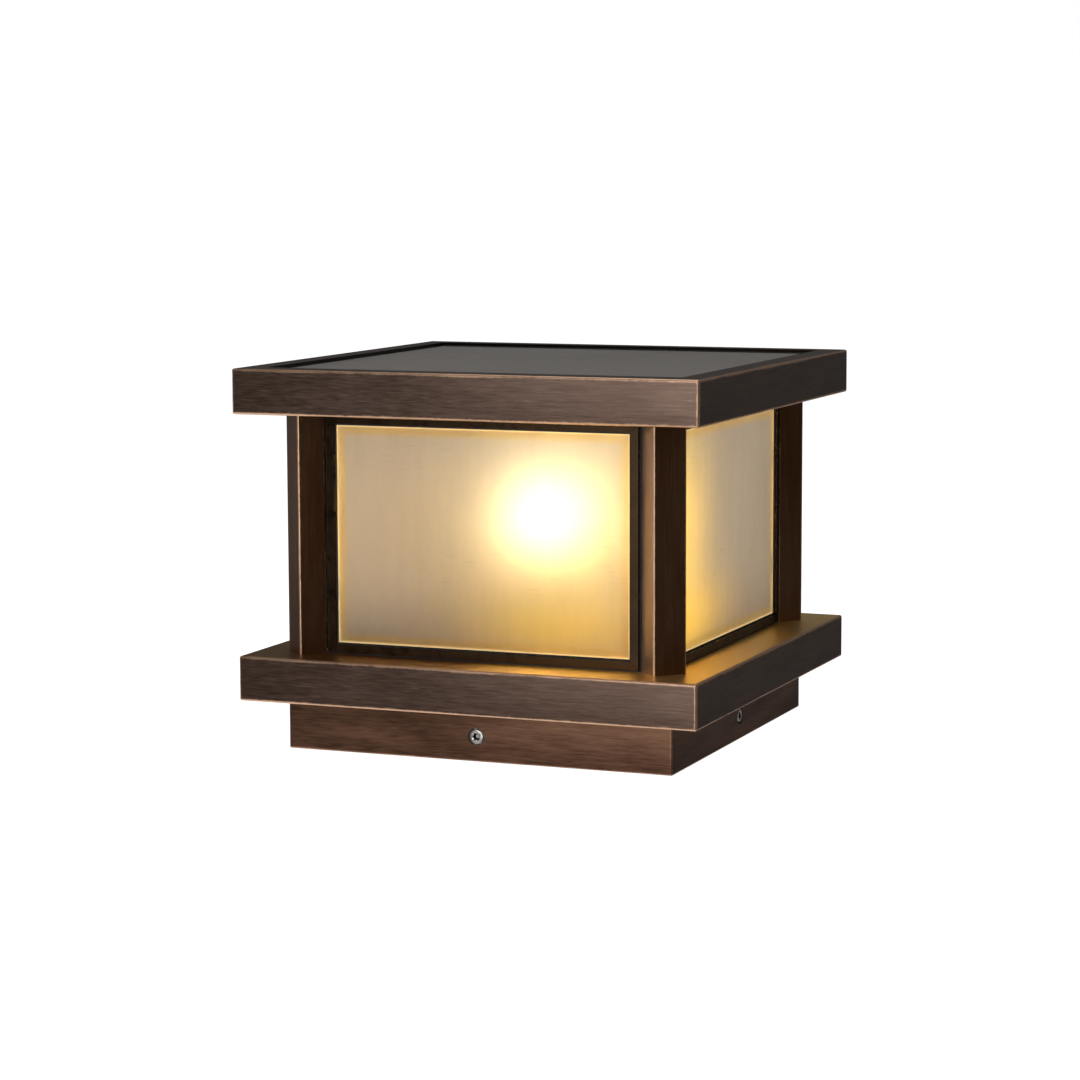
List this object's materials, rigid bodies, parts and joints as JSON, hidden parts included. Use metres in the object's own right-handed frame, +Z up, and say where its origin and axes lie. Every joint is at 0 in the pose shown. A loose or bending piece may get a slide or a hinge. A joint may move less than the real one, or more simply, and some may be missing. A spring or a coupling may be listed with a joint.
{
  "type": "solar pillar lantern",
  "caption": "Square solar pillar-top lantern: bronze sheet roof with inset solar panel, four amber glass windows between corner posts, base tray and skirt over a bolted bracket.",
  "frame": {"origin": "centre of the skirt's lower edge, on the face that stands on the pillar", "axes": "+Z up, -Y the front window, +X the right-hand window"},
  "size_m": [0.3, 0.3, 0.2365],
  "materials": {
    "bronze_sheet": "folded steel sheet, antique bronze, brushed and lacquered",
    "bronze_bar": "extruded glazing bar, dark bronze, satin",
    "amber_glass": "frosted champagne glass with a fine woven relief",
    "panel_glass": "toughened solar glass, lightly textured",
    "silicon": "dark blue-black cells",
    "opal_globe": "opal diffuser, warm white light inside",
    "black_rubber": "matt",
    "black_resin": "moulded, fine grain",
    "white_plastic": "moulded",
    "grey_plastic": "moulded",
    "green_laminate": "solder mask",
    "cell_wrap": "shrink wrap with nickel ends",
    "red_lead": "insulated leads",
    "stainless": "turned and polished",
    "zinc_steel": "zinc plated",
    "cast_aluminium": "as cast",
    "brass": "plain",
    "nickel_cap": "nickel-plated screw cap"
  },
  "bodies": {
    "bracket": {"mounting_bracket": "zinc_steel"},
    "lamp": {"skirt": "bronze_sheet", "screw_bushes": "stainless", "base_tray": "bronze_sheet", "seam_rivets": "zinc_steel", "post_front_right": "bronze_sheet", "post_rear_right": "bronze_sheet", "post_rear_left": "bronze_sheet", "post_front_left": "bronze_sheet", "post_plugs": "cast_aluminium", "post_screws": "stainless", "head_frame": "bronze_sheet", "window_frame_front": "bronze_bar", "window_frame_right": "bronze_bar", "window_frame_rear": "bronze_bar", "window_frame_left": "bronze_bar", "pane_front": "amber_glass", "pane_right": "amber_glass", "pane_rear": "amber_glass", "pane_left": "amber_glass", "pane_gaskets": "black_rubber", "pane_clips": "zinc_steel", "weather_strips": "black_rubber", "window_screws": "stainless", "holder_body": "black_resin", "holder_shell": "brass", "holder_contact": "brass", "holder_screws": "stainless", "lamp_lead": "black_rubber", "lead_grommets": "black_rubber", "pin_block": "black_resin", "contact_pins": "brass"},
    "bulb": {"bulb_cap": "nickel_cap", "bulb_collar": "white_plastic", "bulb_led_board": "white_plastic", "bulb_globe": "opal_globe"},
    "roof": {"roof_shell": "bronze_sheet", "panel_tape": "black_rubber", "solar_glass": "panel_glass", "solar_cells": "silicon", "solar_backsheet": "white_plastic", "panel_clips": "zinc_steel", "roof_floor": "zinc_steel", "roof_nuts": "stainless", "electronics_tray": "black_resin", "battery_cells": "cell_wrap", "control_board": "green_laminate", "socket_block": "black_resin", "roof_leads": "red_lead", "switch_body": "black_resin", "switch_nut": "black_resin"},
    "button": {"switch_button": "grey_plastic"},
    "side_screw_front": {"side_screw_front": "stainless"},
    "side_screw_right": {"side_screw_right": "stainless"},
    "side_screw_rear": {"side_screw_rear": "stainless"},
    "side_screw_left": {"side_screw_left": "stainless"},
    "roof_screw_front": {"roof_screw_front": "stainless"},
    "roof_screw_right": {"roof_screw_right": "stainless"},
    "roof_screw_rear": {"roof_screw_rear": "stainless"},
    "roof_screw_left": {"roof_screw_left": "stainless"}
  },
  "joints": [
    {"name": "lamp_lift", "type": "slide", "parent": "bracket", "child": "lamp", "axis": [0, 0, 1], "range_m": [0, 0.05]},
    {"name": "roof_lift", "type": "slide", "parent": "lamp", "child": "roof", "axis": [0, 0, 1], "range_m": [0, 0.05]},
    {"name": "bulb_out", "type": "slide", "parent": "lamp", "child": "bulb", "axis": [0, 0, 1], "range_m": [0, 0.03]},
    {"name": "switch_press", "type": "slide", "parent": "roof", "child": "button", "axis": [0, 0, 1], "range_m": [0, 0.0015], "stiffness_N_per_m": 400, "springref_m": -0.0008},
    {"name": "side_screw_front_out", "type": "slide", "parent": "lamp", "child": "side_screw_front", "axis": [0, -1, 0], "range_m": [0, 0.01]},
    {"name": "side_screw_right_out", "type": "slide", "parent": "lamp", "child": "side_screw_right", "axis": [1, 0, 0], "range_m": [0, 0.01]},
    {"name": "side_screw_rear_out", "type": "slide", "parent": "lamp", "child": "side_screw_rear", "axis": [0, 1, 0], "range_m": [0, 0.01]},
    {"name": "side_screw_left_out", "type": "slide", "parent": "lamp", "child": "side_screw_left", "axis": [-1, 0, 0], "range_m": [0, 0.01]},
    {"name": "roof_screw_front_out", "type": "slide", "parent": "lamp", "child": "roof_screw_front", "axis": [0, 0, -1], "range_m": [0, 0.01]},
    {"name": "roof_screw_right_out", "type": "slide", "parent": "lamp", "child": "roof_screw_right", "axis": [0, 0, -1], "range_m": [0, 0.01]},
    {"name": "roof_screw_rear_out", "type": "slide", "parent": "lamp", "child": "roof_screw_rear", "axis": [0, 0, -1], "range_m": [0, 0.01]},
    {"name": "roof_screw_left_out", "type": "slide", "parent": "lamp", "child": "roof_screw_left", "axis": [0, 0, -1], "range_m": [0, 0.01]}
  ]
}
